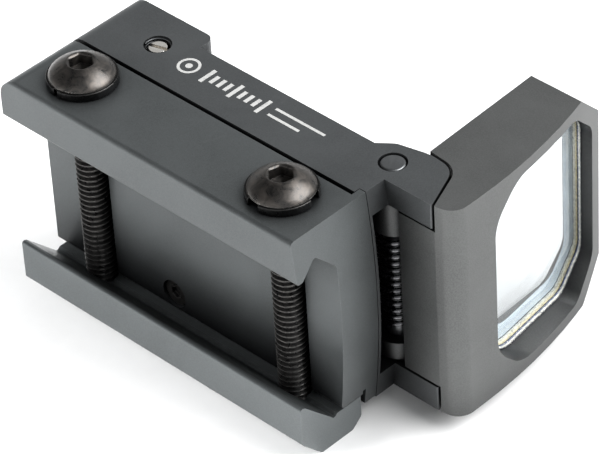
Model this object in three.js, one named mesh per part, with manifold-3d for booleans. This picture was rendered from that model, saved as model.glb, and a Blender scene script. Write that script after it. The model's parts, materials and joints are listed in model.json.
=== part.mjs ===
// A folding red dot finder lying on its side: a clamp for a slotted accessory rail, a slim housing
// with the emitter, and a sprung lens hood that folds down over the housing.
//
// Design frame, in millimetres: X runs forward from the rear clamp screw, Y is the sight's own "up"
// from the clamp screws' axes, and Z is its width, from the middle plane. The finder lies with its
// width upright, so the exported group is only shifted: the origin is below the middle of its box.
import * as THREE from 'three';
import { mergeVertices } from 'three/addons/utils/BufferGeometryUtils.js';
import Module from 'manifold-3d';

// ---- Driving dimensions ----
const RAIL_SLOT_PITCH = 10.01;
const SCREW_SPACING = 3 * RAIL_SLOT_PITCH;
const WIDTH = 28.2;
const HALF = WIDTH / 2;
const FIT = 0.3; // gap between neighbours that were cut to each other
const RUNNING = 0.08; // radial play of a turning or sliding piece

const REAR_X = -7.6;
const FRONT_X = 37.4;
const FRONT_BULGE = 1.0;
const END_ROUND = 2.5;

const FLOOR_Y = 0.35; // the face that sits on the rail
const JAW_EDGE_Y = -5.4;
const BASE_TOP_Y = 4.55;
const BODY_BOTTOM_Y = 5.09;
const BODY_TOP_Y = 12.45;
const BLOCK_TOP_Y = 14.71;
const BLOCK_FRONT_X = 5.4;
const BASE_SIDE_Z = -12.1; // the side of the base that the moving jaw hooks round
const JAW_GAP = 0.5; // left between the base and the jaw, which isn't quite closed
const JAW_SIDE_Z = -16.5;

const PIN = { x: 35.13, y: 11.3, radius: 1.4 };
const EAR_THICKNESS = 3.2;
const SLOT_HALF = HALF - EAR_THICKNESS;
const KNUCKLE_RADIUS = 2.9;
const SPRING = { radius: 1.95, wire: 0.3, pitch: 0.93, turns: 13.5, low: -7.2 };

const HOOD_TOP_Y = 36.05;
const HOOD_FRONT_X = 45.97;
const HOOD_FRONT_CURVE = 0.0072;
const HOOD_FRONT_APEX_Y = 12.5;
const HOOD_CORNER_CUT = 4.2;
const WINDOW = { low: 15.1, high: 34.4, half: 12.7, cut: 3.9, round: 2.6, lowRound: 4.6 };
const LENS_TILT = 0.13; // how far the lens leans back for each millimetre of height
const LENS_FRONT_X = 43.45; // at the window's low edge

const CLAMP_SCREW = {
  radius: 1.8, head: 3.75, headHeight: 1.65, dome: 4.9, crown: 1.6, socket: 1.25, socketDepth: 1.3,
};
const WASHER = { outer: 4.0, inner: 2.0, thickness: 1.0, split: 0.5, notch: 1.6, web: 2.55 };
const WINDAGE = { x: 1.46, y: 9.86, radius: 1.05, hole: 1.6, recess: 0.35 };
const ELEVATION = { x: -2.6, radius: 1.05, hole: 1.5 };
const CHAMBER = { rear: -4.4, front: 3.4, floor: 6.9, half: 7.2, top: 14.05 };
const BATTERY = { x: 20, cap: 9.4, cell: 8, pocketFloor: 7.2, capBottom: 11.35, cellHeight: 3.2 };
const BUTTON = { y: 9.9, radius: 2.8 };
const CATCH = { rear: 6.1, length: 3.4, z: -8.4, half: 2.6, top: 14.2 };

// ---- Placing flat outlines in space ----
const wasm = await Module();
wasm.setup();

// A THREE.Shape from corners [a, b, radius]: a radius rounds that corner with an arc.
function outline(corners) {
  const shape = new THREE.Shape();
  corners.forEach(([a, b, radius = 0], index) => {
    const corner = new THREE.Vector2(a, b);
    const before = corners[(index + corners.length - 1) % corners.length];
    const after = corners[(index + 1) % corners.length];
    const back = new THREE.Vector2(before[0], before[1]).sub(corner).normalize();
    const ahead = new THREE.Vector2(after[0], after[1]).sub(corner).normalize();
    const halfAngle = Math.acos(THREE.MathUtils.clamp(back.dot(ahead), -1, 1)) / 2;
    const place = index === 0 ? 'moveTo' : 'lineTo';
    if (radius === 0) {
      shape[place](a, b);
      return;
    }
    const reach = radius / Math.tan(halfAngle);
    const start = corner.clone().addScaledVector(back, reach);
    const end = corner.clone().addScaledVector(ahead, reach);
    const middle = back.clone().add(ahead).normalize();
    const centre = corner.clone().addScaledVector(middle, radius / Math.sin(halfAngle));
    shape[place](start.x, start.y);
    const from = Math.atan2(start.y - centre.y, start.x - centre.x);
    const to = Math.atan2(end.y - centre.y, end.x - centre.x);
    shape.absarc(centre.x, centre.y, radius, from, to, back.cross(ahead) > 0);
  });
  return shape;
}

function extrude(shape, depth, steps = 5) {
  return new THREE.ExtrudeGeometry(shape, { depth, bevelEnabled: false, curveSegments: steps });
}

// An outline in X and Y, standing from z = low to z = high.
function sideProfile(shape, low, high, steps) {
  return extrude(shape, high - low, steps).translate(0, 0, low);
}

// An outline in Y and Z, reaching from x = low to x = high.
function crossSection(shape, low, high, steps) {
  const turn = new THREE.Matrix4().set(0, 0, 1, 0, 1, 0, 0, 0, 0, 1, 0, 0, 0, 0, 0, 1);
  return extrude(shape, high - low, steps).applyMatrix4(turn).translate(low, 0, 0);
}

// An outline in Z and X, rising from y = low to y = high.
function planView(shape, low, high, steps) {
  const turn = new THREE.Matrix4().set(0, 1, 0, 0, 0, 0, 1, 0, 1, 0, 0, 0, 0, 0, 0, 1);
  return extrude(shape, high - low, steps).applyMatrix4(turn).translate(0, low, 0);
}

function box(x0, x1, y0, y1, z0, z1) {
  const made = new THREE.BoxGeometry(x1 - x0, y1 - y0, z1 - z0);
  return made.translate((x0 + x1) / 2, (y0 + y1) / 2, (z0 + z1) / 2);
}

// A cylinder from low to high along an axis; the other two coordinates are its centre's.
function rod(axis, radius, low, high, [a, b], sides = 24) {
  const made = new THREE.CylinderGeometry(radius, radius, high - low, sides);
  const middle = (low + high) / 2;
  if (axis === 'x') return made.rotateZ(Math.PI / 2).translate(middle, a, b);
  if (axis === 'y') return made.translate(a, middle, b);
  return made.rotateX(Math.PI / 2).translate(a, b, middle);
}

// A turned piece: profile points are [radius, height], and the height runs along the axis.
function turned(axis, profile, [a, b], sides = 24) {
  const made = new THREE.LatheGeometry(profile.map(([r, h]) => new THREE.Vector2(r, h)), sides);
  if (axis === 'y') return made.translate(a, 0, b);
  return made.rotateX(Math.PI / 2).translate(a, b, 0);
}

class Helix extends THREE.Curve {
  constructor(radius, pitch, turns) {
    super();
    Object.assign(this, { radius, pitch, turns });
  }

  getPoint(t, target = new THREE.Vector3()) {
    const angle = 2 * Math.PI * this.turns * t;
    const height = this.pitch * this.turns * t;
    return target.set(this.radius * Math.cos(angle), this.radius * Math.sin(angle), height);
  }
}

// A coil spring standing on z = 0.
function coil(radius, wire, pitch, turns) {
  const section = new THREE.Shape();
  const SIDES = 6;
  for (let i = 0; i < SIDES; i += 1) {
    const angle = (2 * Math.PI * i) / SIDES;
    section[i === 0 ? 'moveTo' : 'lineTo'](wire * Math.cos(angle), wire * Math.sin(angle));
  }
  const extrudePath = new Helix(radius, pitch, turns);
  return new THREE.ExtrudeGeometry(section, { extrudePath, steps: Math.round(turns * 12) });
}

// ---- Cutting and joining ----
function solid(geometry) {
  const bare = geometry.index ? geometry.toNonIndexed() : geometry.clone();
  bare.deleteAttribute('normal');
  bare.deleteAttribute('uv');
  const merged = mergeVertices(bare, 1e-4);
  const kept = [];
  const index = merged.index.array;
  for (let i = 0; i < index.length; i += 3) {
    const [a, b, c] = [index[i], index[i + 1], index[i + 2]];
    if (a !== b && b !== c && c !== a) kept.push(a, b, c);
  }
  const vertProperties = merged.attributes.position.array;
  const triVerts = new Uint32Array(kept);
  return new wasm.Manifold(new wasm.Mesh({ numProp: 3, vertProperties, triVerts }));
}

const join = (first, ...others) => others.reduce((sum, g) => sum.add(asSolid(g)), asSolid(first));
const cut = (first, ...tools) => tools.reduce((rest, g) => rest.subtract(asSolid(g)), asSolid(first));
const common = (first, ...others) => others.reduce((both, g) => both.intersect(asSolid(g)), asSolid(first));

function asSolid(thing) {
  return thing.isBufferGeometry ? solid(thing) : thing;
}

function geometryOf(manifold) {
  const mesh = manifold.getMesh();
  const geometry = new THREE.BufferGeometry();
  geometry.setAttribute('position', new THREE.BufferAttribute(mesh.vertProperties, 3));
  geometry.setIndex(new THREE.BufferAttribute(mesh.triVerts, 1));
  geometry.computeVertexNormals();
  return geometry;
}

// ---- Materials ----
const FINISHES = {
  anodised: { color: 0x3a3c3e, roughness: 0.5, metalness: 0.6 },
  hood: { color: 0x55585a, roughness: 0.45, metalness: 0.6 },
  blackSteel: { color: 0x2c2b2a, roughness: 0.35, metalness: 0.8 },
  washer: { color: 0x101112, roughness: 0.5, metalness: 0.5 },
  steel: { color: 0x9a9a98, roughness: 0.35, metalness: 1 },
  bright: { color: 0xe6ded4, roughness: 0.2, metalness: 1 },
  lens: { color: 0xdfe9ef, roughness: 0.02, metalness: 0 },
  blackPlastic: { color: 0x151617, roughness: 0.6, metalness: 0 },
  rubber: { color: 0x1c1c1d, roughness: 0.85, metalness: 0 },
  board: { color: 0x1f5a35, roughness: 0.5, metalness: 0.1 },
  brass: { color: 0xb58f45, roughness: 0.35, metalness: 1 },
  led: { color: 0xb02a2a, roughness: 0.3, metalness: 0 },
};

const finder = new THREE.Group();

function addPart(name, shape, finish) {
  const geometry = geometryOf(asSolid(shape));
  const mesh = new THREE.Mesh(geometry, new THREE.MeshStandardMaterial(FINISHES[finish]));
  mesh.name = name;
  finder.add(mesh);
}

// ---- Outlines that several pieces share ----
// The housing and the base share one plan: a straight rear end with round corners, a bulged front.
function planOutline() {
  const STEPS = 12;
  const corners = [[HALF, REAR_X, END_ROUND]];
  for (let i = 0; i <= STEPS; i += 1) {
    const z = HALF * (1 - (2 * i) / STEPS);
    corners.push([z, FRONT_X - FRONT_BULGE * (z / HALF) ** 2]);
  }
  corners.push([-HALF, REAR_X, END_ROUND]);
  return outline(corners);
}

// The window, and the lenses that fill it: a rectangle with its corners cut and rounded.
function windowOutline(inset) {
  const { low, high, half, cut: leg, round, lowRound } = WINDOW;
  const [y0, y1, z1, c] = [low + inset, high - inset, half - inset, leg - 0.59 * inset];
  return outline([
    [y0, -z1 + c, lowRound],
    [y0 + c, -z1, lowRound],
    [y1 - c, -z1, round],
    [y1, -z1 + c, round],
    [y1, z1 - c, round],
    [y1 - c, z1, round],
    [y0 + c, z1, lowRound],
    [y0, z1 - c, lowRound],
  ]);
}

// The hinge ear, seen from the side.
function earOutline() {
  return outline([
    [30.5, 8.6],
    [30.5, BODY_TOP_Y - 0.2],
    [31.2, BODY_TOP_Y - 0.2],
    [33.2, 13.85, 2.2],
    [37.3, 14.8, 6],
    [40.75, 14.45, 2.6],
    [43.1, 8.6, 0.2],
  ]);
}

function clampScrewAxes() {
  return { rear: [0, 0], front: [SCREW_SPACING, 0] };
}

// ---- Housing ----
function bodyHousing() {
  const trunk = outline([
    [REAR_X - 1, BODY_BOTTOM_Y],
    [35.5, BODY_BOTTOM_Y],
    [35.5, 5.85],
    [FRONT_X + 1, 5.85],
    [FRONT_X + 1, BODY_TOP_Y],
    [BLOCK_FRONT_X, BODY_TOP_Y],
    [BLOCK_FRONT_X, BLOCK_TOP_Y, 1.1],
    [REAR_X - 1, BLOCK_TOP_Y],
  ]);
  const plan = planView(planOutline(), 0, 20);
  const shell = join(
    common(sideProfile(trunk, -HALF - 1, HALF + 1), plan),
    sideProfile(earOutline(), SLOT_HALF, HALF),
    sideProfile(earOutline(), -HALF, -SLOT_HALF),
  );
  const hingeSlot = box(31.7, 50, 7.9, 20, -SLOT_HALF, SLOT_HALF);
  const springPocket = box(33.5, 50, 6.2, 8.5, -SLOT_HALF, SLOT_HALF);
  const pinHole = rod('z', PIN.radius + 0.05, -HALF + 0.6, HALF + 1, [PIN.x, PIN.y]);
  const pinSeat = rod('z', PIN.radius + 0.22, HALF - 0.5, HALF + 1, [PIN.x, PIN.y]);
  const { rear, front, floor, half, top } = CHAMBER;
  const chamber = box(rear, front, floor, BLOCK_TOP_Y, -half, half);
  const boardSlot = box(-5.6, rear + 0.1, 7.6, BLOCK_TOP_Y, -half, half);
  const coverSeat = box(-6.3, 4.0, top, BLOCK_TOP_Y + 1, -10.2, 10.2);
  const emitterPort = box(front - 0.5, BLOCK_FRONT_X + 1, 12.6, 13.8, -2.2, 2.2);
  const windowSeat = box(4.1, 4.9, 12.2, 13.95, -2.7, 2.7);
  const buttonHole = rod('x', BUTTON.radius + 0.12, REAR_X - 1, -5.3, [BUTTON.y, 0]);
  const windageHole = rod('z', WINDAGE.hole, half - 1, HALF + 1, [WINDAGE.x, WINDAGE.y]);
  const batteryPocket = rod('y', BATTERY.cap + 0.15, BATTERY.pocketFloor, 13, [BATTERY.x, 0], 32);
  const boardPocket = box(21.5, 32.5, BODY_BOTTOM_Y - 1, 6.7, -8.5, 8.5);
  const wireHole = rod('y', 1, 6, 8, [26, 0], 12);
  const screwHoles = baseScrewPlaces().map(([x, z]) => rod('y', 1.1, BODY_BOTTOM_Y - 1, 7, [x, z], 16));
  const coverScrewHoles = [1, -1].map((side) => rod('y', 0.65, 12, 15, [-1.15, side * 8.8], 12));
  const catchGroove = box(CATCH.rear - 0.1, 10.2, 11.6, 13, CATCH.z - 1.5, CATCH.z + 1.5);
  return cut(
    shell, hingeSlot, springPocket, pinHole, pinSeat, chamber, boardSlot, coverSeat, emitterPort,
    windowSeat, buttonHole, windageHole, batteryPocket, boardPocket, wireHole, ...screwHoles,
    ...coverScrewHoles, catchGroove,
  );
}

// Where the screws that hold the base to the housing stand, as [x, z].
function baseScrewPlaces() {
  return [[11.35, -9.84], [17.5, 4.5]];
}

// ---- Rail clamp ----
function railBase() {
  const section = outline([
    [BASE_TOP_Y, HALF],
    [JAW_EDGE_Y, HALF, 0.6],
    [JAW_EDGE_Y, 8.75, 0.35],
    [-4.55, 8.75, 0.3],
    [-2.5, 10.8, 0.4],
    [FLOOR_Y, 7.95, 0.8],
    [FLOOR_Y, BASE_SIDE_Z, 0.5],
    [3.6, BASE_SIDE_Z],
    [3.6, -11.6],
    [4.05, -11.6],
    [4.05, -13.8],
    [BASE_TOP_Y, -13.8],
  ]);
  const pad = box(-6.4, 34.3, BASE_TOP_Y - 0.3, BODY_BOTTOM_Y - 0.02, -12.6, 12.6);
  const lip = box(35.6, FRONT_X + 1, BASE_TOP_Y - 0.3, 5.75, -13.8, HALF);
  const plan = planView(planOutline(), -10, 10);
  const shape = common(join(crossSection(section, REAR_X - 1, FRONT_X + 1), pad, lip), plan);
  const boreHoles = Object.values(clampScrewAxes()).map((at) => rod('z', 2.25, -HALF - 1, HALF + 1, at));
  const screwHoles = baseScrewPlaces().flatMap(([x, z]) => [
    rod('y', 1.15, -1, 6, [x, z], 16),
    turned('y', [[0, -1], [1.75, -1], [1.75, 0.75], [1.15, 1.35], [0, 1.35]], [x, z], 20),
  ]);
  return cut(shape, ...boreHoles, ...screwHoles);
}

function movingJaw() {
  const section = outline([
    [JAW_EDGE_Y, -8.5, 0.3],
    [-4.7, -8.8, 0.3],
    [-0.5, -13.0, 0.3],
    [-0.05, BASE_SIDE_Z - JAW_GAP],
    [3.6, BASE_SIDE_Z - JAW_GAP],
    [3.6, -15.3, 0.6],
    [2.2, JAW_SIDE_Z, 0.6],
    [-2.6, JAW_SIDE_Z, 0.5],
    [JAW_EDGE_Y, -13.6, 0.4],
  ]);
  const holes = Object.values(clampScrewAxes()).map((at) => (
    rod('z', CLAMP_SCREW.radius + RUNNING, -20, 0, at)
  ));
  return cut(crossSection(section, REAR_X + 0.6, FRONT_X - 1.1), ...holes);
}

// A button-head screw, hanging down through the base; its socket is turned by an angle.
function clampScrew(at, socketAngle) {
  const { radius, head, headHeight, dome, crown, socket, socketDepth } = CLAMP_SCREW;
  const seat = HALF + WASHER.thickness + 0.02;
  const top = seat + headHeight;
  const height = (r) => top + Math.sqrt(dome ** 2 - r ** 2) - Math.sqrt(dome ** 2 - crown ** 2);
  const profile = [
    [0, JAW_SIDE_Z + 0.15],
    [radius - 0.3, JAW_SIDE_Z + 0.15],
    [radius, JAW_SIDE_Z + 0.45],
    [radius, seat],
    [head, seat],
    ...[head, 3.4, 2.9, 2.3, crown].map((r) => [r, height(r)]),
    [0, top],
  ];
  const corner = socket / Math.cos(Math.PI / 6);
  const wrenchHole = new THREE.CylinderGeometry(corner, corner, 4, 6);
  wrenchHole.rotateX(Math.PI / 2).rotateZ(socketAngle).translate(at[0], at[1], top - socketDepth + 2);
  return cut(turned('z', profile, at, 28), wrenchHole);
}

function washerRing(at) {
  const { outer, inner, thickness } = WASHER;
  return cut(
    rod('z', outer, HALF + 0.01, HALF + thickness, at, 28),
    rod('z', inner, HALF - 1, HALF + 2, at, 20),
  );
}

// A radial slot in a washer, from a radius outwards.
function radialSlot(at, angle, from, width) {
  const slot = new THREE.BoxGeometry(6, width, 4).translate(from + 3, 0, HALF);
  return slot.rotateZ(angle).translate(at[0], at[1], 0);
}

function splitWasher(at, angle) {
  return cut(washerRing(at), radialSlot(at, angle, 0, WASHER.split));
}

function notchedWasher(at, angles) {
  return cut(washerRing(at), ...angles.map((angle) => radialSlot(at, angle, WASHER.web, WASHER.notch)));
}

function baseScrew([x, z]) {
  const profile = [[0, 0.65], [1.6, 0.65], [1.6, 0.8], [1.0, 1.4], [1.0, 6.9], [0, 6.9]];
  const cross = rod('y', 0.75, 0, 1.1, [x, z], 6);
  return cut(turned('y', profile, [x, z], 20), cross);
}

// ---- Hood ----
function hoodFrame() {
  const front = [];
  const STEPS = 8;
  for (let i = 0; i <= STEPS; i += 1) {
    const y = HOOD_TOP_Y - ((HOOD_TOP_Y - HOOD_FRONT_APEX_Y) * i) / STEPS;
    front.push([HOOD_FRONT_X - HOOD_FRONT_CURVE * (y - HOOD_FRONT_APEX_Y) ** 2, y]);
  }
  const profile = outline([
    [36.9, 13.9],
    [35.98, HOOD_TOP_Y, 0.5],
    ...front,
    [HOOD_FRONT_X, 9.0, 2.1],
    [43.2, 8.65],
    [38.2, 8.65],
    [37.3, 10.2],
  ]);
  const edge = HALF - HOOD_CORNER_CUT;
  const across = outline([
    [8, -HALF],
    [HOOD_TOP_Y - HOOD_CORNER_CUT, -HALF],
    [HOOD_TOP_Y, -edge],
    [HOOD_TOP_Y, edge],
    [HOOD_TOP_Y - HOOD_CORNER_CUT, HALF],
    [8, HALF],
  ]);
  const knuckle = rod('z', KNUCKLE_RADIUS, -SLOT_HALF + FIT, SLOT_HALF - FIT, [PIN.x, PIN.y], 28);
  const frame = common(sideProfile(profile, -HALF, HALF), crossSection(across, 30, 50));
  const earRoom = outline([
    [30, 5],
    [30, 15.2],
    [37.3, 15.15, 6],
    [41.0, 14.8, 2.9],
    [43.55, 8.2],
    [43.55, 5],
  ]);
  const springRoom = join(
    rod('z', 2.75, SPRING.low - 1.2, 6.4, [PIN.x, PIN.y], 24),
    box(30, PIN.x + 2.75, 5, PIN.y, SPRING.low - 1.2, 6.4),
  );
  const notchHalf = CATCH.half + 0.25;
  const notchLow = HOOD_TOP_Y - 0.9;
  const catchNotch = box(35, 38.4, notchLow, HOOD_TOP_Y + 1, CATCH.z - notchHalf, CATCH.z + notchHalf);
  return cut(
    join(frame, knuckle),
    sideProfile(earRoom, SLOT_HALF - FIT, HALF + 1),
    sideProfile(earRoom, -HALF - 1, -SLOT_HALF + FIT),
    crossSection(windowOutline(0), 30, 50),
    rod('z', PIN.radius + RUNNING, -HALF, HALF, [PIN.x, PIN.y]),
    springRoom,
    catchNotch,
  );
}

// A slab of the window's outline between two tilted planes, measured back from the lens's front.
function tiltedSlab(shape, frontDepth, backDepth) {
  const face = (depth, y) => [LENS_FRONT_X - depth - LENS_TILT * (y - WINDOW.low), y];
  const slab = outline([
    face(frontDepth, 10), face(frontDepth, 40), face(backDepth, 40), face(backDepth, 10),
  ]);
  return common(shape, sideProfile(slab, -20, 20));
}

function lensElement(frontDepth, backDepth) {
  return tiltedSlab(crossSection(windowOutline(0.1), 30, 50), frontDepth, backDepth);
}

function lensRetainer() {
  const ring = cut(
    crossSection(windowOutline(0.1), 30, 50),
    crossSection(windowOutline(0.9), 29, 51),
  );
  return tiltedSlab(ring, 3.75, 4.55);
}

function hingePin() {
  const profile = [
    [0, -HALF + 0.65],
    [PIN.radius - 0.2, -HALF + 0.65],
    [PIN.radius, -HALF + 0.85],
    [PIN.radius, HALF - 0.2],
    [PIN.radius - 0.2, HALF],
    [0, HALF],
  ];
  return turned('z', profile, [PIN.x, PIN.y]);
}

function torsionSpring() {
  const { radius, wire, pitch, turns, low } = SPRING;
  return coil(radius, wire, pitch, turns).translate(PIN.x, PIN.y, low);
}

// ---- Emitter and its two adjustments ----
const HOLDER = { rear: -0.9, front: 2.8, bottom: 7.9, top: 13.7, half: 3 };
const CARRIAGE = { rear: -4.1, front: -1.0, bottom: 8.2, top: 13.5, half: 4.2 };
const EMITTER = { y: 12.9, radius: 0.8 };
const LIFT = 0.35; // how far the carriage rises and falls, with a little to spare

function slottedScrew(axis, radius, low, high, at, slotAngle) {
  const shank = rod(axis, radius, low, high, at, 18);
  const slot = new THREE.BoxGeometry(3 * radius, 0.45, 0.9);
  if (axis === 'z') return cut(shank, slot.rotateZ(slotAngle).translate(at[0], at[1], high));
  return cut(shank, slot.rotateX(Math.PI / 2).rotateY(slotAngle).translate(at[0], high, at[1]));
}

function emitterHolder() {
  const { rear, front, bottom, top, half } = HOLDER;
  const wide = WINDAGE.radius + 0.1;
  const screwSlot = outline([
    [WINDAGE.x - wide, WINDAGE.y - wide - LIFT, 1],
    [WINDAGE.x + wide, WINDAGE.y - wide - LIFT, 1],
    [WINDAGE.x + wide, WINDAGE.y + wide + LIFT, 1],
    [WINDAGE.x - wide, WINDAGE.y + wide + LIFT, 1],
  ]);
  return cut(
    box(rear, front, bottom, top, -half, half),
    sideProfile(screwSlot, 0.6, half + 1),
    rod('x', EMITTER.radius + 0.1, front - 1.6, front + 1, [EMITTER.y, 0], 16),
  );
}

function emitter() {
  const { radius, y } = EMITTER;
  const profile = [[0, 0], [radius, 0], [radius, 1.2], [0.7 * radius, 1.65], [0, 1.8]];
  return turned('y', profile, [0, 0], 16).rotateZ(-Math.PI / 2).translate(HOLDER.front - 1.55, y, 0);
}

function elevationCarriage() {
  const { rear, front, bottom, top, half } = CARRIAGE;
  const bore = rod('y', ELEVATION.radius + 0.1, top - 3.6, top + 1, [ELEVATION.x, 0], 18);
  return cut(box(rear, front, bottom, top, -half, half), bore);
}

function chamberCover() {
  const plate = box(-6.2, 3.9, CHAMBER.top + 0.01, BLOCK_TOP_Y, -10.1, 10.1);
  const adjusterHole = rod('y', ELEVATION.hole, 13, 16, [ELEVATION.x, 0], 24);
  const screwHoles = [1, -1].map((side) => rod('y', 1.35, 13, 16, [-1.15, side * 8.8], 20));
  return cut(plate, adjusterHole, ...screwHoles);
}

function coverScrew(side) {
  const seat = CHAMBER.top + 0.02;
  const profile = [[0, 12.4], [0.6, 12.4], [0.6, seat], [1.25, seat], [1.25, 14.6], [0, 14.6]];
  const at = [-1.15, side * 8.8];
  return cut(turned('y', profile, at, 18), box(-2.5, 0.2, 14.4, 15, at[1] - 0.17, at[1] + 0.17));
}

// ---- Power ----
function batteryCap() {
  const { x, cap, capBottom } = BATTERY;
  const disc = turned('y', [
    [0, capBottom], [cap - 0.5, capBottom], [cap - 0.5, 11.75], [cap, 11.75],
    [cap, BODY_TOP_Y - 0.2], [cap - 0.2, BODY_TOP_Y], [0, BODY_TOP_Y],
  ], [x, 0], 32);
  return cut(disc, box(x - 0.8, x + 0.8, BODY_TOP_Y - 0.6, 13, -6.5, 6.5));
}

function ringRound(x, y, radius, wire) {
  return new THREE.TorusGeometry(radius, wire, 8, 28).rotateX(Math.PI / 2).translate(x, y, 0);
}

function contactSpring() {
  const leaf = outline([
    [14, 7.25], [26.5, 7.25], [26.5, 7.4], [21.5, 7.4], [19, 7.75], [17, 7.4], [14, 7.4],
  ]);
  return sideProfile(leaf, -1.5, 1.5);
}

function brightnessButton() {
  const { radius } = BUTTON;
  const profile = [[0, -1.6], [radius - 0.3, -1.6], [radius, -1.3], [radius, 0.1], [2.4, 0.35], [0, 0.45]];
  return turned('y', profile, [0, 0])
    .rotateZ(Math.PI / 2)
    .translate(REAR_X + 0.05, BUTTON.y, 0);
}

function foldCatch() {
  const { rear, length, z, half, top } = CATCH;
  const grip = outline([
    [rear, BODY_TOP_Y + 0.06],
    [rear + length, BODY_TOP_Y + 0.06],
    [rear + length, 13.3],
    [rear + length + 0.45, 13.5],
    [rear + length + 0.45, 13.9],
    [rear + length - 0.6, top],
    [rear, top],
  ]);
  const key = box(rear + 0.2, rear + 2.6, 11.7, BODY_TOP_Y + 0.2, z - 1.35, z + 1.35);
  const ridges = [0, 1, 2].map((i) => (
    box(rear + 0.5 + 0.8 * i, rear + 0.85 + 0.8 * i, top - 0.25, top + 1, z - half - 1, z + half + 1)
  ));
  return cut(join(sideProfile(grip, z - half, z + half), key), ...ridges);
}

// ---- The assembly ----
addPart('body_housing', bodyHousing(), 'anodised');
addPart('rail_base', railBase(), 'anodised');
addPart('moving_jaw', movingJaw(), 'anodised');
const degrees = THREE.MathUtils.degToRad;
const screws = clampScrewAxes();
addPart('clamp_screw_rear', clampScrew(screws.rear, degrees(22)), 'blackSteel');
addPart('clamp_screw_front', clampScrew(screws.front, degrees(16)), 'blackSteel');
addPart('lock_washer_rear', splitWasher(screws.rear, degrees(-91)), 'washer');
addPart('lock_washer_front', notchedWasher(screws.front, [-97, 17, 137].map(degrees)), 'washer');
baseScrewPlaces().forEach((place, i) => addPart(`base_screw_${i + 1}`, baseScrew(place), 'blackSteel'));

addPart('hood_frame', hoodFrame(), 'hood');
addPart('front_lens', lensElement(0, 1.6), 'lens');
addPart('rear_lens', lensElement(1.7, 3.6), 'lens');
addPart('lens_retainer', lensRetainer(), 'blackPlastic');
addPart('hinge_pin', hingePin(), 'steel');
addPart('torsion_spring', torsionSpring(), 'steel');

addPart('chamber_cover', chamberCover(), 'anodised');
addPart('cover_screw_1', coverScrew(1), 'blackSteel');
addPart('cover_screw_2', coverScrew(-1), 'blackSteel');
addPart('windage_screw', slottedScrew(
  'z', WINDAGE.radius, 1.3, HALF - WINDAGE.recess, [WINDAGE.x, WINDAGE.y], degrees(16),
), 'bright');
addPart('elevation_screw', slottedScrew(
  'y', ELEVATION.radius, 10.35, BLOCK_TOP_Y - 0.4, [ELEVATION.x, 0], 0,
), 'bright');
addPart('elevation_carriage', elevationCarriage(), 'brass');
addPart('emitter_holder', emitterHolder(), 'brass');
addPart('emitter', emitter(), 'led');
addPart('elevation_spring', coil(1.1, 0.11, 0.3, 2).rotateX(-Math.PI / 2)
  .translate(ELEVATION.x, CHAMBER.floor + 0.13, 0), 'steel');
addPart('windage_spring', coil(0.9, 0.14, 0.7, 4.5)
  .translate(WINDAGE.x - 0.4, 10.5, -CHAMBER.half + 0.2), 'steel');
addPart('emitter_window', box(4.2, 4.8, 12.3, 13.85, -2.6, 2.6), 'lens');
addPart('emitter_board', box(-5.3, -4.8, 7.8, 13.8, -6.8, 6.8), 'board');
addPart('brightness_button', brightnessButton(), 'rubber');

addPart('circuit_board', box(22, 32, 5.4, 6.4, -8, 8), 'board');
addPart('contact_spring', contactSpring(), 'brass');
addPart('coin_cell', turned('y', [
  [0, 7.85], [6.6, 7.85], [6.8, 8.05], [BATTERY.cell, 8.05], [BATTERY.cell, 7.85 + BATTERY.cellHeight],
  [0, 7.85 + BATTERY.cellHeight],
], [BATTERY.x, 0], 32), 'steel');
addPart('battery_cap', batteryCap(), 'blackPlastic');
addPart('cap_seal', ringRound(BATTERY.x, 11.5, BATTERY.cap - 0.25, 0.2), 'rubber');
addPart('fold_catch', foldCatch(), 'blackSteel');

// The origin is at the middle of the box in X and Y, and at its lowest Z.
const bounds = new THREE.Box3().setFromObject(finder);
const middle = bounds.getCenter(new THREE.Vector3());
finder.children.forEach((mesh) => mesh.position.set(-middle.x, -middle.y, -bounds.min.z));

export default finder;
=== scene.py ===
"""A folding red dot finder lying on its side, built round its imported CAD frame.

The CAD nodes carry the machined shapes, most of them with bevelled edges. The two clamp screws,
the hinge pin and the coil spring are built anew at a finer grain. A cement ring, the thread crests
in two holes and a printed mark are added. Design coordinates are in millimetres: X forward from
the rear clamp screw, Y the sight's up, Z across its width.
"""

import json
import math

import bmesh
import bpy
from mathutils import Matrix, Vector


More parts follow.
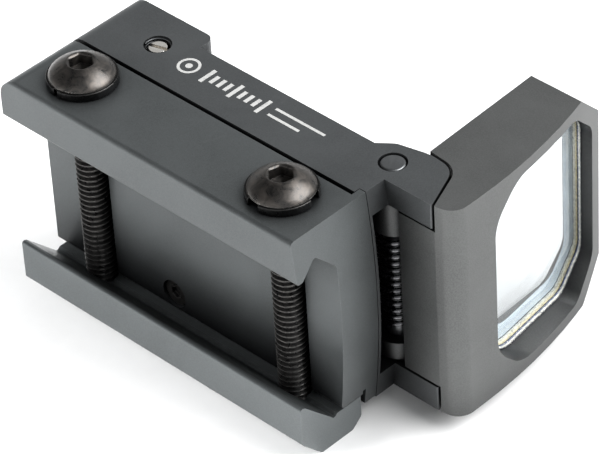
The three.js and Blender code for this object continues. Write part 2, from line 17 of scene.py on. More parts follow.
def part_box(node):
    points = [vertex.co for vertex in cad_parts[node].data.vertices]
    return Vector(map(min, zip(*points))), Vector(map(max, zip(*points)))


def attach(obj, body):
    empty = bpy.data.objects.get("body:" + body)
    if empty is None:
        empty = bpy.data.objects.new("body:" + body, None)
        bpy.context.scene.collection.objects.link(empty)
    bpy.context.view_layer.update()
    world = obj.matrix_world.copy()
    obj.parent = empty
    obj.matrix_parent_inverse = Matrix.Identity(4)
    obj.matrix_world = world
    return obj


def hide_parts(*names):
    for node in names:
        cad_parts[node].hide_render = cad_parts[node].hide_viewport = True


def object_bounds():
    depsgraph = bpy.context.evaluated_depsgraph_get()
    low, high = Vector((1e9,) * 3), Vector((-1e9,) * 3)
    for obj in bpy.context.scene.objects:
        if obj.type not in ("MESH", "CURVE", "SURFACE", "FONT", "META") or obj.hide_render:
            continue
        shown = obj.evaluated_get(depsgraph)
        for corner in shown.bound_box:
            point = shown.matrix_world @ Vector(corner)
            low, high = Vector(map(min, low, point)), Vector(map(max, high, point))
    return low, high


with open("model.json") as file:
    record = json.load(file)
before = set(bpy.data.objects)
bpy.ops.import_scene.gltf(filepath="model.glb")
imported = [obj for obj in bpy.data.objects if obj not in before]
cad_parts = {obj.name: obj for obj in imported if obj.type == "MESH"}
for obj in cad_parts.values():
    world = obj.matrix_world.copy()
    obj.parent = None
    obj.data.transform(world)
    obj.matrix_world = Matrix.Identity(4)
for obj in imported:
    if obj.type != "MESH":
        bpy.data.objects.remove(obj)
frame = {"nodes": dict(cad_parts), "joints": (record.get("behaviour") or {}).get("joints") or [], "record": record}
cad_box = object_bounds()

MM = 0.001
JOINTS = {joint["name"]: joint for joint in frame["joints"]}
ORIGIN = Vector(JOINTS["rear_screw_turn"]["pos_m"])
FRONT_SCREW = (Vector(JOINTS["front_screw_turn"]["pos_m"]) - ORIGIN) / MM
WINDAGE_AXIS = (Vector(JOINTS["windage_turn"]["pos_m"]) - ORIGIN) / MM
ELEVATION_AXIS = (Vector(JOINTS["elevation_turn"]["pos_m"]) - ORIGIN) / MM
HINGE_AXIS = (Vector(JOINTS["hood_fold"]["pos_m"]) - ORIGIN) / MM
HALF_WIDTH = (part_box("body_housing")[1].z - ORIGIN.z) / MM

# Clamp screws, in millimetres: the head's height over the housing, and the thread.
SCREW_SEAT = 1.02
HEAD_DOME_RADIUS = 4.9
SOCKET_MOUTH = 1.6
SOCKET_FLATS = 2.5
THREAD_RADIUS = 1.8
THREAD_DEPTH = 0.36
THREAD_PITCH = 0.7
RINGS_PER_PITCH = 12
CREST_WIRE = 0.11

SPRING_WIRE = 0.3
SPRING_TURNS = 13.5

# The doublet leans back by LENS_TILT, and LENS_FRONT is a point on its front face.
LENS_TILT = 0.13
LENS_FRONT = (43.45, 15.1, 0)
DOUBLET_DEPTH = 3.6
GLASS_IOR = 1.5
FACE_NOT_RIM = 0.6

MARK_HEIGHT = 0.015
MARK_SUNK = 0.01
BEVEL_ANGLE = 28
BEVEL_SEGMENTS = 3

FLOOR_HALF = 2.5
ROOM_LEVEL = 0.62
FLAG_LEVEL = 0.02
FLAG_DIRECTION = (-0.50, -0.28, 0.82)
LIGHT_DISTANCE = 0.6
LENS_LENGTH = 238.1


def at(x, y, z):
    """A point given in design millimetres, in the row frame."""
    return ORIGIN + Vector((x, y, z)) * MM


def extent(node, axis):
    """The lowest and highest design coordinate of a CAD node along an axis, in millimetres."""
    low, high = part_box(node)
    return (low[axis] - ORIGIN[axis]) / MM, (high[axis] - ORIGIN[axis]) / MM


# ---- Materials ----
class Nodes:
    """A short way to write a node tree."""

    def __init__(self, name):
        self.material = bpy.data.materials.new(name)
        self.material.use_nodes = True
        self.tree = self.material.node_tree
        self.tree.nodes.clear()
        self.place = self.new("ShaderNodeTexCoord").outputs["Object"]

    def new(self, kind, **settings):
        node = self.tree.nodes.new(kind)
        for key, value in settings.items():
            if key.startswith("in_"):
                self.feed(node.inputs[key[3:].replace("_", " ")], value)
            else:
                setattr(node, key, value)
        return node

    def feed(self, socket, value):
        if isinstance(value, bpy.types.NodeSocket):
            self.tree.links.new(value, socket)
        else:
            socket.default_value = value

    def noise(self, per_mm, detail=3.0, roughness=0.5, distortion=0.0, stretch=None):
        place = self.place
        if stretch:
            mapping = self.new("ShaderNodeMapping", in_Vector=place, in_Scale=stretch)
            place = mapping.outputs[0]
        texture = self.new(
            "ShaderNodeTexNoise", in_Vector=place, in_Scale=per_mm / MM, in_Detail=detail,
            in_Roughness=roughness, in_Distortion=distortion,
        )
        return texture.outputs["Fac"]

    def spread(self, value, low, high, start=0.3, end=0.7):
        """Maps value from start..end to low..high."""
        node = self.new("ShaderNodeMapRange", in_Value=value, in_From_Min=start, in_From_Max=end)
        self.feed(node.inputs["To Min"], low)
        self.feed(node.inputs["To Max"], high)
        return node.outputs[0]

    def mix(self, share, first, second):
        node = self.new("ShaderNodeMix", data_type="RGBA")
        self.feed(node.inputs[0], share)
        self.feed(node.inputs[6], first)
        self.feed(node.inputs[7], second)
        return node.outputs[2]

    def math(self, operation, first, second=0.0):
        node = self.new("ShaderNodeMath", operation=operation)
        self.feed(node.inputs[0], first)
        self.feed(node.inputs[1], second)
        return node.outputs[0]

    def edges(self, width):
        """A mask of the convex and concave edges, 0 on open faces and 1 on an edge."""
        rounded = self.new("ShaderNodeBevel", samples=4, in_Radius=width * MM).outputs[0]
        normal = self.new("ShaderNodeNewGeometry").outputs["Normal"]
        dot = self.new("ShaderNodeVectorMath", operation="DOT_PRODUCT")
        self.tree.links.new(rounded, dot.inputs[0])
        self.tree.links.new(normal, dot.inputs[1])
        return self.spread(dot.outputs["Value"], 1.0, 0.0, 0.86, 0.995)

    def hollows(self, reach, darkest, own_shape_only=False):
        """A factor of painted shade from ambient occlusion, at its darkest in deep hollows."""
        sky = self.new("ShaderNodeAmbientOcclusion", samples=6, only_local=own_shape_only)
        sky.inputs["Distance"].default_value = reach * MM
        return self.spread(sky.outputs["AO"], darkest, 1.0, 0.28, 0.9)

    # Darkens a colour towards near-black by a factor; with the hollows factor this paints shade into the base
    # colour.
    def apply_painted_shade(self, colour, factor):
        return self.mix(factor, (0.004, 0.004, 0.005, 1), colour)

    def bump(self, height, strength, distance, under=None):
        node = self.new("ShaderNodeBump", in_Height=height, in_Strength=strength)
        node.inputs["Distance"].default_value = distance * MM
        if under is not None:
            self.tree.links.new(under, node.inputs["Normal"])
        return node.outputs[0]

    def finish(self, **inputs):
        shader = self.new("ShaderNodeBsdfPrincipled")
        for key, value in inputs.items():
            self.feed(shader.inputs[key.replace("_", " ")], value)
        output = self.new("ShaderNodeOutputMaterial")
        self.tree.links.new(shader.outputs[0], output.inputs["Surface"])


def rgb(value, tint=(1, 1, 1)):
    return (value * tint[0], value * tint[1], value * tint[2], 1)


def anodised(name, shade, tint, grain=9.0, rough=0.42, own_shape_only=False):
    """Black anodised aluminium: a fine blasted grain, slow patches, edges rubbed paler, and painted shade in its
    hollows.
    """
    n = Nodes(name)
    patches = n.noise(0.11, 4.0, 0.55, 0.6)
    fine = n.noise(grain, 2.0, 0.6)
    speckle = n.noise(3.1, 3.0, 0.65)
    scuffs = n.noise(0.5, 6.0, 0.7, 1.2, stretch=(1.0, 0.35, 1.0))
    body = n.mix(n.spread(patches, 0, 1), rgb(shade * 0.86, tint), rgb(shade * 1.14, tint))
    grained = n.mix(n.spread(fine, 0, 0.5), body, rgb(shade * 1.7, tint))
    rubbed = n.math("MULTIPLY", n.edges(0.16), n.spread(speckle, 0.25, 1.0, 0.35, 0.65))
    worn = n.mix(n.math("MULTIPLY", rubbed, 0.14), grained, rgb(0.34, (1, 1.0, 1.02)))
    scuffed = n.mix(n.spread(scuffs, 0, 0.10, 0.62, 0.78), worn, rgb(0.3))
    roughness = n.math("ADD", n.spread(patches, rough - 0.04, rough + 0.05),
                       n.spread(fine, -0.03, 0.05))
    # The base colour is darkened by painted shade in hollows, from ambient occlusion.
    n.finish(
        Base_Color=n.apply_painted_shade(scuffed, n.hollows(9.0, 0.04, own_shape_only)), Metallic=0.75,
        Roughness=roughness, Normal=n.bump(fine, 0.35, 0.004, n.bump(speckle, 0.10, 0.01)),
    )
    return n.material


def black_oxide(name, shade=0.045, rough=0.3, warm=(1.12, 1.0, 0.9), rub=0.5):
    """Black-oxide steel, mottled brown where it is handled, brighter on its edges, with painted shade in its
    hollows.
    """
    n = Nodes(name)
    mottle = n.noise(0.9, 5.0, 0.65, 0.9)
    fine = n.noise(5.0, 3.0, 0.6)
    base = n.mix(n.spread(mottle, 0, 1), rgb(shade * 0.7), rgb(shade * 1.9, warm))
    rubbed = n.math("MULTIPLY", n.edges(0.10), n.spread(fine, 0.3, 1.0, 0.3, 0.6))
    colour = n.mix(n.math("MULTIPLY", rubbed, rub), base, rgb(0.5, (1.04, 1.0, 0.95)))
    roughness = n.spread(mottle, rough - 0.07, rough + 0.12)
    # The base colour is darkened by painted shade in the socket and other hollows.
    n.finish(
        Base_Color=n.apply_painted_shade(colour, n.hollows(2.0, 0.3)), Metallic=0.9, Roughness=roughness,
        Normal=n.bump(mottle, 0.22, 0.012, n.bump(fine, 0.15, 0.004)),
    )
    return n.material


def plated(name, colour, rough, tarnish, lines=(1, 1, 1)):
    """Bare or plated metal, with fine tool marks, a light tarnish and a painted highlight on its edges."""
    n = Nodes(name)
    patches = n.noise(0.8, 4.0, 0.6, 0.7)
    marks = n.noise(6.0, 3.0, 0.6, stretch=lines)
    dull = n.mix(n.spread(patches, 0, 1), (*colour, 1), (*tarnish, 1))
    # Painted highlight: every edge is mixed towards a brighter copy of the metal's colour.
    bright = (*[min(1, c * 1.4) for c in colour], 1)
    tarnish_and_painted_edge_sheen = n.mix(n.math("MULTIPLY", n.edges(0.08), 0.5), dull, bright)
    n.finish(
        Base_Color=tarnish_and_painted_edge_sheen, Metallic=1.0, Roughness=n.spread(marks, rough - 0.06, rough + 0.12),
        Normal=n.bump(marks, 0.12, 0.003),
    )
    return n.material


def plastic(name, shade, rough, grain=4.0, tint=(1, 1, 1), depth=0.008):
    """Moulded plastic or rubber with a fine texture, dusty in the hollows."""
    n = Nodes(name)
    patches = n.noise(0.3, 4.0, 0.6)
    fine = n.noise(grain, 3.0, 0.6)
    base = n.mix(n.spread(patches, 0, 1), rgb(shade * 0.8, tint), rgb(shade * 1.3, tint))
    colour = n.mix(n.math("MULTIPLY", n.edges(0.12), 0.25), base, rgb(shade * 3 + 0.04, tint))
    n.finish(
        Base_Color=colour, Roughness=n.spread(fine, rough - 0.08, rough + 0.08),
        Normal=n.bump(fine, 0.3, depth),
    )
    return n.material


def circuit(name):
    """Green solder mask over copper tracks."""
    n = Nodes(name)
    tracks = n.new("ShaderNodeTexBrick", in_Vector=n.place, in_Scale=0.9 / MM)
    tracks.inputs["Color1"].default_value = (0.02, 0.14, 0.06, 1)
    tracks.inputs["Color2"].default_value = (0.025, 0.17, 0.07, 1)
    tracks.inputs["Mortar"].default_value = (0.07, 0.26, 0.1, 1)
    fine = n.noise(2.0, 3.0)
    colour = n.mix(n.spread(fine, 0, 0.4), tracks.outputs["Color"], (0.01, 0.08, 0.03, 1))
    n.finish(Base_Color=colour, Roughness=n.spread(fine, 0.3, 0.5), Normal=n.bump(fine, 0.2, 0.01))
    return n.material


LENS_AXIS = Vector((1.0, LENS_TILT, 0.0)).normalized()
# The rim's colours from the front of the doublet to its back, as (depth in mm, colour). The pale cream bands are
# painted reflections in the lens's edge, and the pale blue-grey band at the back is the wall beyond, painted as
# seen through the glass.
RIM_BANDS = [
    (0.0, (0.01, 0.01, 0.01)), (0.35, (0.02, 0.02, 0.03)), (0.55, (0.80, 0.77, 0.66)),
    (1.00, (0.70, 0.70, 0.64)), (1.25, (0.02, 0.05, 0.16)), (1.65, (0.02, 0.04, 0.14)),
    (1.80, (0.75, 0.60, 0.20)), (2.00, (0.62, 0.55, 0.30)), (2.20, (0.02, 0.04, 0.14)),
    (2.60, (0.03, 0.06, 0.15)), (2.90, (0.50, 0.56, 0.60)), (3.60, (0.60, 0.66, 0.70)),
]


def doublet_glass(name, tint):
    """Coated glass whose faces are polished, and whose rim is ground, painted and grainy, with painted glints and
    painted reflections in its colour.

    Shadow rays pass the faces, so that light reaches the rim. A face's direction is taken in the
    lens's own frame, so that it stays polished when the hood folds."""
    n = Nodes(name)
    dust = n.noise(1.4, 6.0, 0.7)
    colour = n.mix(n.spread(dust, 0, 0.04, 0.5, 0.8), (*tint, 1), (0.86, 0.88, 0.88, 1))
    glass = n.new("ShaderNodeBsdfPrincipled")
    n.feed(glass.inputs["Base Color"], colour)
    n.feed(glass.inputs["Roughness"], n.spread(dust, 0.0, 0.02, 0.55, 0.8))
    glass.inputs["Transmission Weight"].default_value = 1.0
    glass.inputs["IOR"].default_value = GLASS_IOR
    front = at(*LENS_FRONT)
    depth = n.new("ShaderNodeVectorMath", operation="DOT_PRODUCT")
    n.feed(depth.inputs[0], n.place)
    n.feed(depth.inputs[1], -LENS_AXIS)
    along = n.math("ADD", depth.outputs["Value"], front.dot(LENS_AXIS))
    ramp = n.new("ShaderNodeValToRGB")
    n.feed(ramp.inputs[0], n.math("DIVIDE", along, DOUBLET_DEPTH * MM))
    stops = ramp.color_ramp.elements
    for k, (millimetres, band) in enumerate(RIM_BANDS):
        stop = stops[k] if k < 2 else stops.new(0.5)
        stop.position = millimetres / DOUBLET_DEPTH
        stop.color = (*band, 1)
    grain = n.noise(1.9, 5.0, 0.75)
    # Painted glints: small spots of the ground rim are mixed towards near-white.
    painted_glint_and_roughness_noise = n.noise(5.0, 2.0, 0.7)
    ground = n.mix(n.spread(grain, 0.0, 0.75, 0.42, 0.62), ramp.outputs[0], (0.03, 0.04, 0.06, 1))
    rim_with_painted_glints = n.mix(n.spread(painted_glint_and_roughness_noise, 0, 0.8, 0.57, 0.66), ground, (1, 0.97, 0.86, 1))
    rim = n.new("ShaderNodeBsdfPrincipled")
    n.feed(rim.inputs["Base Color"], rim_with_painted_glints)
    n.feed(rim.inputs["Roughness"], n.spread(painted_glint_and_roughness_noise, 0.2, 0.6))
    n.feed(rim.inputs["Normal"], n.bump(grain, 0.6, 0.05))
    facing = n.new("ShaderNodeVectorMath", operation="DOT_PRODUCT")
    turned = n.new("ShaderNodeVectorTransform", vector_type="NORMAL", convert_from="WORLD",
                   convert_to="OBJECT")
    n.feed(turned.inputs[0], n.new("ShaderNodeNewGeometry").outputs["True Normal"])
    n.feed(facing.inputs[0], turned.outputs[0])
    n.feed(facing.inputs[1], LENS_AXIS)
    polished = n.math("GREATER_THAN", n.math("ABSOLUTE", facing.outputs["Value"]), FACE_NOT_RIM)
    lit_through = n.new("ShaderNodeMixShader")
    n.feed(lit_through.inputs[0], n.new("ShaderNodeLightPath").outputs["Is Shadow Ray"])
    n.feed(lit_through.inputs[1], glass.outputs[0])
    n.feed(lit_through.inputs[2], n.new("ShaderNodeBsdfTransparent").outputs[0])
    both = n.new("ShaderNodeMixShader")
    n.feed(both.inputs[0], polished)
    n.feed(both.inputs[1], rim.outputs[0])
    n.feed(both.inputs[2], lit_through.outputs[0])
    output = n.new("ShaderNodeOutputMaterial")
    n.feed(output.inputs["Surface"], both.outputs[0])
    return n.material


COOL = (0.95, 1.0, 1.03)
MATERIALS = {
    "housing": anodised("anodised_housing", 0.085, COOL),
    "base": anodised("anodised_base", 0.095, (0.93, 1.0, 1.02), rough=0.38),
    "jaw": anodised("anodised_jaw", 0.13, (0.92, 1.0, 1.02), rough=0.36, own_shape_only=True),
    "hood": anodised("blasted_hood", 0.105, (0.98, 1.0, 0.99), grain=7.0, rough=0.42),
    "black_steel": black_oxide("black_oxide_steel", 0.062),
    "washer": black_oxide("black_washer", 0.012, 0.26, (1, 1, 1), rub=0.6),
    "pin": plated("pin_steel", (0.2, 0.205, 0.21), 0.36, (0.14, 0.145, 0.15)),
    "spring": plated("spring_steel", (0.16, 0.16, 0.165), 0.2, (0.07, 0.07, 0.075)),
    "nickel": plated("nickel_plate", (0.94, 0.91, 0.87), 0.2, (0.80, 0.76, 0.70)),
    "lens": doublet_glass("coated_glass", (0.97, 0.99, 1.0)),
    "black_plastic": plastic("black_plastic", 0.022, 0.5),
    "rubber": plastic("black_rubber", 0.018, 0.78, grain=2.5),
    "brass": plated("turned_brass", (0.72, 0.52, 0.24), 0.3, (0.5, 0.34, 0.15)),
    "emitter": plastic("tinted_emitter", 0.5, 0.2, tint=(1.0, 0.08, 0.06), depth=0.002),
    "board": circuit("circuit_board_green"),
    "cell": plated("cell_steel", (0.62, 0.62, 0.6), 0.28, (0.48, 0.48, 0.46), lines=(1, 6, 1)),
}
THREAD_STEEL = black_oxide("black_thread_steel", 0.042, 0.3, (1.04, 1.0, 0.96), rub=0.55)
SLOT_OF = {row["node"]: row["material_slot"] for row in frame["record"]["subparts"]}


# ---- Pieces ----
def smooth_by_angle(mesh, degrees):
    mesh.shade_smooth()
    mesh.set_sharp_from_angle(angle=math.radians(degrees))


def link_object(name, data):
    made = bpy.data.objects.new(name, data)
    bpy.context.scene.collection.objects.link(made)
    return made


def add_piece(name, mesh, slot_name, body, *stands_for):
    """Adds a finished mesh, given in the row frame, on a CAD body."""
    piece = link_object(name, mesh)
    if not mesh.materials:
        mesh.materials.append(MATERIALS[slot_name])
    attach(piece, body)
    if stands_for:
        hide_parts(*stands_for)
    return piece


def mesh_from(name, vertices, faces, sharp=32):
    mesh = bpy.data.meshes.new(name)
    mesh.from_pydata([tuple(v) for v in vertices], [], faces)
    mesh.validate()
    fixed = bmesh.new()
    fixed.from_mesh(mesh)
    bmesh.ops.remove_doubles(fixed, verts=fixed.verts, dist=1e-7)
    bmesh.ops.recalc_face_normals(fixed, faces=fixed.faces)
    fixed.to_mesh(mesh)
    fixed.free()
    smooth_by_angle(mesh, sharp)
    return mesh


def lathe(name, axis, centre, rings, steps=96, sharp=32):
    """A turned piece. A ring is (radius, height), where radius is a number or a function of the
    angle; centre is a design point on the axis, whose own height counts as zero."""
    across = {"x": (1, 2, 0), "y": (2, 0, 1), "z": (0, 1, 2)}[axis]
    vertices, faces = [], []
    for radius, height in rings:
        for i in range(steps):
            angle = 2 * math.pi * i / steps
            r = radius(angle) if callable(radius) else radius
            point = [0.0, 0.0, 0.0]
            point[across[0]] = r * math.cos(angle)
            point[across[1]] = r * math.sin(angle)
            point[across[2]] = height
            vertices.append(at(*[c + p for c, p in zip(centre, point)]))
    for k in range(len(rings) - 1):
        for i in range(steps):
            j = (i + 1) % steps
            faces.append((k * steps + i, k * steps + j, (k + 1) * steps + j, (k + 1) * steps + i))
    faces.append(tuple(range(steps)))
    faces.append(tuple(range((len(rings) - 1) * steps, len(rings) * steps)))
    return mesh_from(name, vertices, faces, sharp)


def arc(centre, radius, start, end, steps):
    """Profile points on an arc, angles in degrees."""
    turns = [math.radians(start + (end - start) * i / steps) for i in range(steps + 1)]
    return [(centre[0] + radius * math.cos(t), centre[1] + radius * math.sin(t)) for t in turns]


def hexagon(across_flats, turned):
    """The radius of a hexagonal hole as a function of the angle."""
    def radius(angle):
        off = (angle - turned + math.pi / 6) % (math.pi / 3) - math.pi / 6
        return across_flats / 2 / math.cos(off)
    return radius


def thread_rings(outer, depth, pitch, low, high):
    """Rings of a right-hand thread between two heights, fading in at its lower end."""
    count = int((high - low) / pitch * RINGS_PER_PITCH)
    rings = []
    for k in range(count + 1):
        height = low + (high - low) * k / count
        fade = min(1.0, (height - low) / (0.8 * pitch), (high - height) / (0.3 * pitch) + 0.15)

        def radius(angle, height=height, fade=fade):
            phase = (height / pitch - angle / (2 * math.pi)) % 1.0
            ridge = min(1.0, max(0.0, (0.375 - abs(phase - 0.5)) / 0.31))
            return outer - depth * (1 - fade * ridge)
        rings.append((radius, height))
    return rings


def clamp_screw(name, centre, turned, body):
    """A button-head screw: low dome, chamfered hex socket, and a thread right down the shank."""
    low, high = extent(name, 2)
    head_radius = (extent(name, 0)[1] - extent(name, 0)[0]) / 2
    seat = HALF_WIDTH + SCREW_SEAT
    hex_hole = hexagon(SOCKET_FLATS, turned + math.pi / 6)
    mouth_drop = math.sqrt(HEAD_DOME_RADIUS ** 2 - SOCKET_MOUTH ** 2)

    def dome_height(r):
        return high + math.sqrt(HEAD_DOME_RADIUS ** 2 - r ** 2) - mouth_drop

    def scaled(share):
        return lambda angle: hex_hole(angle) * share
    rings = [(0.02, high - 1.75), (scaled(0.8), high - 1.36), (scaled(0.97), high - 1.3)]
    rings += [(hex_hole, high - 1.2), (hex_hole, high - 0.24), (scaled(1.03), high - 0.16)]
    rings += [(1.52, high - 0.03), (SOCKET_MOUTH, high - 0.002)]
    rings += [(r, dome_height(r)) for r in (1.7, 2.0, 2.4, 2.8, 3.1, 3.35, 3.55)]
    edge = dome_height(3.68)
    rings += [(3.66, edge - 0.04), (3.73, edge - 0.16), (head_radius, edge - 0.3)]
    rings += [(head_radius, seat + 0.12), (head_radius - 0.12, seat)]
    rings += [(2.2, seat), (1.86, seat - 0.3)]
    thread = thread_rings(THREAD_RADIUS, THREAD_DEPTH, THREAD_PITCH, low + 0.12, seat - 0.5)
    rings += list(reversed(thread))
    rings += [(1.3, low), (0.05, low)]
    mesh = lathe(name + "_detailed", "z", (centre.x, centre.y, 0), rings, 72, 38)
    mesh.materials.append(MATERIALS["black_steel"])
    mesh.materials.append(THREAD_STEEL)
    shoulder = at(0, 0, seat - 0.25).z
    for face in mesh.polygons:
        face.material_index = int(face.center.z < shoulder)
    add_piece(name + "_detailed", mesh, "black_steel", body, name)


def tube(name, path, radius, sides=10):
    """A round wire along a path of design points."""
    vertices, faces = [], []
    normal = None
    for k, point in enumerate(path):
        ahead = path[min(k + 1, len(path) - 1)] - path[max(k - 1, 0)]
        ahead.normalize()
        if normal is None:
            normal = ahead.orthogonal().normalized()
        normal = (normal - ahead * normal.dot(ahead)).normalized()
        side = ahead.cross(normal)
        for i in range(sides):
            angle = 2 * math.pi * i / sides
            offset = normal * math.cos(angle) * radius + side * math.sin(angle) * radius
            vertices.append(at(*(point + offset)))
    for k in range(len(path) - 1):
        for i in range(sides):
            j = (i + 1) % sides
            faces.append((k * sides + i, k * sides + j, (k + 1) * sides + j, (k + 1) * sides + i))
    faces.append(tuple(range(sides)))
    faces.append(tuple(range((len(path) - 1) * sides, len(path) * sides)))
    return mesh_from(name, vertices, faces, 50)


def torsion_spring():
    """The hood's coil spring, without its two legs."""
    low, high = extent("torsion_spring", 2)
    radius = (extent("torsion_spring", 0)[1] - extent("torsion_spring", 0)[0]) / 2 - SPRING_WIRE
    steps = int(SPRING_TURNS * 28)
    start, end = low + SPRING_WIRE, high - SPRING_WIRE
    path = []
    for k in range(steps + 1):
        angle = 2 * math.pi * SPRING_TURNS * k / steps
        height = start + (end - start) * k / steps
        path.append(Vector((HINGE_AXIS.x + radius * math.cos(angle),
                            HINGE_AXIS.y + radius * math.sin(angle), height)))
    mesh = tube("torsion_spring_coil", path, SPRING_WIRE)
    add_piece("torsion_spring_coil", mesh, "spring", "body", "torsion_spring")


def hinge_pin():
    low, high = extent("hinge_pin", 2)
    radius = (extent("hinge_pin", 0)[1] - extent("hinge_pin", 0)[0]) / 2
    rings = [(0.02, high - 0.02), (0.6, high - 0.025), (1.05, high - 0.05)]
    rings += arc((radius - 0.22, high - 0.27), 0.22, 80, 0, 6)
    rings += [(radius, high - 0.6), (radius - 0.03, high - 0.66), (radius, high - 0.72)]
    rings += [(radius, low + 0.25), (radius - 0.22, low), (0.02, low)]
    mesh = lathe("hinge_pin_turned", "z", (HINGE_AXIS.x, HINGE_AXIS.y, 0), rings, 72, 40)
    add_piece("hinge_pin_turned", mesh, "pin", "body", "hinge_pin")


def rounded_loop(corners):
    """A closed outline from corners (a, b, radius), each rounded with an arc."""
    points = []
    for k, (a, b, radius) in enumerate(corners):
        corner = Vector((a, b))
        back = (Vector(corners[k - 1][:2]) - corner).normalized()
        ahead = (Vector(corners[(k + 1) % len(corners)][:2]) - corner).normalized()
        half = back.angle(ahead) / 2
        centre = corner + (back + ahead).normalized() * (radius / math.sin(half))
        start = corner + back * (radius / math.tan(half)) - centre
        sweep = start.angle_signed(corner + ahead * (radius / math.tan(half)) - centre)
        for i in range(7):
            points.append(centre + Matrix.Rotation(-sweep * i / 6, 2) @ start)
    return points


def lens_seal():
    """A pale ring of cement behind the doublet's back edge."""
    rear_at_top = extent("rear_lens", 0)[0]
    low, high = (v + 0.05 for v in extent("rear_lens", 1))
    half = (extent("rear_lens", 2)[1] - extent("rear_lens", 2)[0]) / 2 - 0.05

    low_round, high_round = 4.5, 2.5

    def loop(inset, depth):
        leg = 3.85 - 0.59 * inset
        y0, y1, z1 = low + inset, high - inset, half - inset
        outline = rounded_loop([
            (y0, -z1 + leg, low_round), (y0 + leg, -z1, low_round),
            (y1 - leg, -z1, high_round), (y1, -z1 + leg, high_round),
            (y1, z1 - leg, high_round), (y1 - leg, z1, high_round),
            (y0 + leg, z1, low_round), (y0, z1 - leg, low_round),
        ])
        return [at(rear_at_top - depth + LENS_TILT * (high - y), y, z) for y, z in outline]
    loops = [loop(0.1, 0.03), loop(1.75, 0.03), loop(1.85, 0.08), loop(0.1, 0.12)]
    count = len(loops[0])
    faces = []
    for k in range(4):
        for i in range(count):
            j = (i + 1) % count
            m = (k + 1) % 4
            faces.append((k * count + i, k * count + j, m * count + j, m * count + i))
    mesh = mesh_from("lens_seal", [v for ring in loops for v in ring], faces, 40)
    n = Nodes("pale_cement")
    patches = n.noise(0.5, 4.0, 0.6)
    fine = n.noise(4.0, 3.0, 0.6)
    colour = n.mix(n.spread(patches, 0, 1), (0.36, 0.42, 0.48, 1), (0.50, 0.57, 0.63, 1))
    n.finish(Base_Color=colour, Roughness=n.spread(fine, 0.3, 0.5), Normal=n.bump(fine, 0.2, 0.01))
    mesh.materials.append(n.material)
    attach(link_object("lens_seal", mesh), "hood")


def threaded_liner(name, axis, centre, radius, low, high, pitch):
    """The thread's crest inside a tapped hole, as a helical ridge."""
    turns = (high - low) / pitch
    steps = int(turns * 32)
    index = {"y": (2, 0, 1), "z": (0, 1, 2)}[axis]
    path = []
    for k in range(steps + 1):
        angle = 2 * math.pi * turns * k / steps
        point = [0.0, 0.0, 0.0]
        point[index[0]] = radius * math.cos(angle)
        point[index[1]] = radius * math.sin(angle)
        point[index[2]] = low + (high - low) * k / steps
        path.append(Vector([c + p for c, p in zip(centre, point)]))
    add_piece(name, tube(name, path, CREST_WIRE, 6), "housing", "body")


def bevel_cad(node, width):
    """Rounds a CAD node's machined edges with modifiers; its own mesh stays as packed."""
    piece = frame["nodes"][node]
    piece.data.shade_smooth()
    merge = piece.modifiers.new("weld", "WELD")
    merge.merge_threshold = 2e-6
    flat = piece.modifiers.new("flat_faces", "DECIMATE")
    flat.decimate_type = "DISSOLVE"
    flat.angle_limit = math.radians(0.6)
    flat.delimit = {"NORMAL"}
    rounding = piece.modifiers.new("edges", "BEVEL")
    rounding.width = width * MM
    rounding.segments = BEVEL_SEGMENTS
    rounding.limit_method = "ANGLE"
    rounding.angle_limit = math.radians(BEVEL_ANGLE)
    rounding.miter_outer = "MITER_ARC"
    rounding.harden_normals = False
    weighted = piece.modifiers.new("weighted", "WEIGHTED_NORMAL")
    weighted.keep_sharp = False
    weighted.weight = 80
    weighted.mode = "FACE_AREA_WITH_ANGLE"


BEVELS = {
    "body_housing": 0.16,
    "rail_base": 0.18,
    "moving_jaw": 0.16,
    "hood_frame": 0.22,
    "lock_washer_rear": 0.12,
    "lock_washer_front": 0.12,
    "chamber_cover": 0.08,
    "battery_cap": 0.12,
    "brightness_button": 0.1,
    "fold_catch": 0.08,
    "windage_screw": 0.06,
    "elevation_screw": 0.06,
    "elevation_carriage": 0.1,
    "emitter_holder": 0.1,
    "base_screw_1": 0.08,
    "base_screw_2": 0.08,
    "cover_screw_1": 0.05,
    "cover_screw_2": 0.05,
    "coin_cell": 0.12,
    "circuit_board": 0.05,
    "emitter_board": 0.05,
    "emitter_window": 0.05,
    "lens_retainer": 0.06,
}

for node_name, node_object in frame["nodes"].items():
    node_object.data.materials.clear()
    node_object.data.materials.append(MATERIALS[SLOT_OF[node_name]])
for node_name in ("base_screw_1", "base_screw_2"):
    frame["nodes"][node_name].data.materials[0] = THREAD_STEEL
for node_name, bevel_width in BEVELS.items():
    bevel_cad(node_name, bevel_width)

clamp_screw("clamp_screw_rear", Vector((0, 0, 0)), math.radians(22), "rear_screw")
clamp_screw("clamp_screw_front", FRONT_SCREW, math.radians(16), "front_screw")
torsion_spring()
hinge_pin()
lens_seal()
threaded_liner("windage_thread", "z", WINDAGE_AXIS, radius=1.52, low=HALF_WIDTH - 3.6,
               high=HALF_WIDTH - 0.25, pitch=0.35)
threaded_liner("elevation_thread", "y", (ELEVATION_AXIS.x, 0, 0), radius=1.45, low=14.15,
               high=14.6, pitch=0.22)


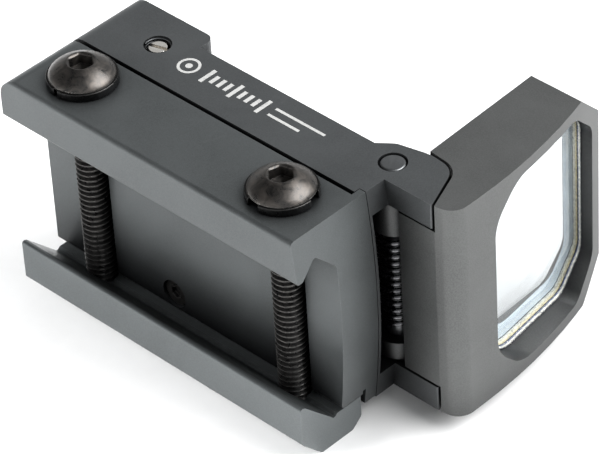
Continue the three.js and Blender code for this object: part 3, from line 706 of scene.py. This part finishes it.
def side_mark():
    """A plain printed mark on the housing's side: a ringed dot, a row of ticks, two thin lines."""
    print_top = HALF_WIDTH + MARK_HEIGHT
    print_bottom = HALF_WIDTH - MARK_SUNK
    line_y = WINDAGE_AXIS.y - 0.55
    made = bmesh.new()

    def plate(outline):
        low = [made.verts.new(at(x, y, print_bottom)) for x, y in outline]
        high = [made.verts.new(at(x, y, print_top)) for x, y in outline]
        made.faces.new(high)
        made.faces.new(list(reversed(low)))
        for k in range(len(outline)):
            m = (k + 1) % len(outline)
            made.faces.new((low[k], low[m], high[m], high[k]))

    def bar(x0, x1, y0, y1):
        plate([(x0, y0), (x1, y0), (x1, y1), (x0, y1)])

    def ring(x, y, outer, inner):
        steps = 48
        for k in range(steps):
            a, b = (2 * math.pi * (k + j) / steps for j in (0, 1))
            plate([(x + inner * math.cos(a), y + inner * math.sin(a)),
                   (x + outer * math.cos(a), y + outer * math.sin(a)),
                   (x + outer * math.cos(b), y + outer * math.sin(b)),
                   (x + inner * math.cos(b), y + inner * math.sin(b))])

    centre = WINDAGE_AXIS.x + 5.4
    ring(centre, line_y, 1.35, 1.02)
    dot, turns = 0.42, [2 * math.pi * k / 32 for k in range(32)]
    plate([(centre + dot * math.cos(t), line_y + dot * math.sin(t)) for t in turns])
    ticks, tick_width, tick_pitch = 9, 0.5, 1.05
    for k in range(ticks):
        tall = 1.25 if k % 4 == 0 else 0.7
        start = centre + 2.6 + tick_pitch * k
        bar(start, start + tick_width, line_y - tall, line_y + tall)
    last = centre + 2.6 + tick_pitch * ticks + tick_width
    bar(last, last + 7.2, line_y + 0.45, line_y + 0.8)
    bar(last, last + 4.6, line_y - 0.8, line_y - 0.45)
    mesh = bpy.data.meshes.new("side_mark")
    bmesh.ops.recalc_face_normals(made, faces=made.faces)
    made.to_mesh(mesh)
    made.free()
    n = Nodes("pale_print")
    wear = n.noise(2.4, 5.0, 0.7)
    fine = n.noise(9.0, 2.0, 0.6)
    colour = n.mix(n.spread(wear, 0, 0.7, 0.5, 0.75), rgb(0.42, (1, 1, 0.98)), rgb(0.24))
    n.finish(Base_Color=colour, Roughness=n.spread(fine, 0.5, 0.7), Normal=n.bump(fine, 0.3, 0.004))
    mesh.materials.append(n.material)
    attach(link_object("side_mark", mesh), "body")


side_mark()


# ---- Room, light and camera ----
def paper_floor():
    mesh = bpy.data.meshes.new("floor")
    half = FLOOR_HALF
    corners = [(-half, -half, 0), (half, -half, 0), (half, half, 0), (-half, half, 0)]
    mesh.from_pydata(corners, [], [(0, 1, 2, 3)])
    floor = link_object("floor", mesh)
    n = Nodes("pale_paper")
    fine = n.noise(0.4, 3.0)
    colour = n.mix(n.spread(fine, 0, 1), rgb(0.90), rgb(0.92))
    n.finish(Base_Color=colour, Roughness=n.spread(fine, 0.85, 0.95))
    mesh.materials.append(n.material)


def studio_world():
    """An even pale room, with a dark flag high on the left that shades the rounded top edges."""
    world = bpy.data.worlds.new("studio")
    world.use_nodes = True
    tree = world.node_tree
    direction = tree.nodes.new("ShaderNodeTexCoord").outputs["Generated"]
    dot = tree.nodes.new("ShaderNodeVectorMath")
    dot.operation = "DOT_PRODUCT"
    tree.links.new(direction, dot.inputs[0])
    dot.inputs[1].default_value = Vector(FLAG_DIRECTION).normalized()
    flag = tree.nodes.new("ShaderNodeMapRange")
    flag.interpolation_type = "SMOOTHSTEP"
    tree.links.new(dot.outputs["Value"], flag.inputs["Value"])
    reach = (("From Min", 0.55), ("From Max", 0.93))
    for key, value in (*reach, ("To Min", ROOM_LEVEL), ("To Max", FLAG_LEVEL)):
        flag.inputs[key].default_value = value
    background = tree.nodes["Background"]
    background.inputs["Color"].default_value = (0.97, 0.99, 1.0, 1)
    tree.links.new(flag.outputs["Result"], background.inputs["Strength"])
    bpy.context.scene.world = world


def soft_light(name, direction, size, power, reflected=True):
    """A square soft box that looks at the middle of the object from a direction."""
    light = bpy.data.lights.new(name, "AREA")
    light.shape = "RECTANGLE"
    light.size, light.size_y = size
    light.energy = power
    lamp = link_object(name, light)
    middle = (cad_box[0] + cad_box[1]) / 2
    outward = Vector(direction).normalized()
    lamp.location = middle + outward * LIGHT_DISTANCE
    lamp.rotation_mode = "QUATERNION"
    lamp.rotation_quaternion = outward.to_track_quat("Z", "Y")
    lamp.visible_glossy = reflected


paper_floor()
studio_world()
soft_light("left_fill", (-0.7, -0.75, 0.45), (0.5, 0.35), 7.0, reflected=False)
soft_light("right_box", (0.75, 0.5, 0.85), (0.55, 0.45), 6.0)

CAMERA_AZIMUTH = math.radians(46.39)
CAMERA_ELEVATION = math.radians(38.88)
CAMERA_ROLL = math.radians(-3.65)
CAMERA_PLACE = at(263.984, -220.652, 268.823)

backward = Vector((
    math.sin(CAMERA_AZIMUTH) * math.cos(CAMERA_ELEVATION),
    -math.cos(CAMERA_AZIMUTH) * math.cos(CAMERA_ELEVATION),
    math.sin(CAMERA_ELEVATION),
))
level = Vector((math.cos(CAMERA_AZIMUTH), math.sin(CAMERA_AZIMUTH), 0))
upright = backward.cross(level)
across = level * math.cos(CAMERA_ROLL) + upright * math.sin(CAMERA_ROLL)
upward = upright * math.cos(CAMERA_ROLL) - level * math.sin(CAMERA_ROLL)
lens = bpy.data.cameras.new("camera")
lens.sensor_width = 36
lens.lens = LENS_LENGTH
lens.clip_start = 0.05
lens.clip_end = 20
camera = link_object("camera", lens)
turn = Matrix((across, upward, backward)).transposed().to_4x4()
camera.matrix_world = Matrix.Translation(CAMERA_PLACE) @ turn
bpy.context.scene.camera = camera
bpy.context.scene.view_settings.view_transform = "Standard"
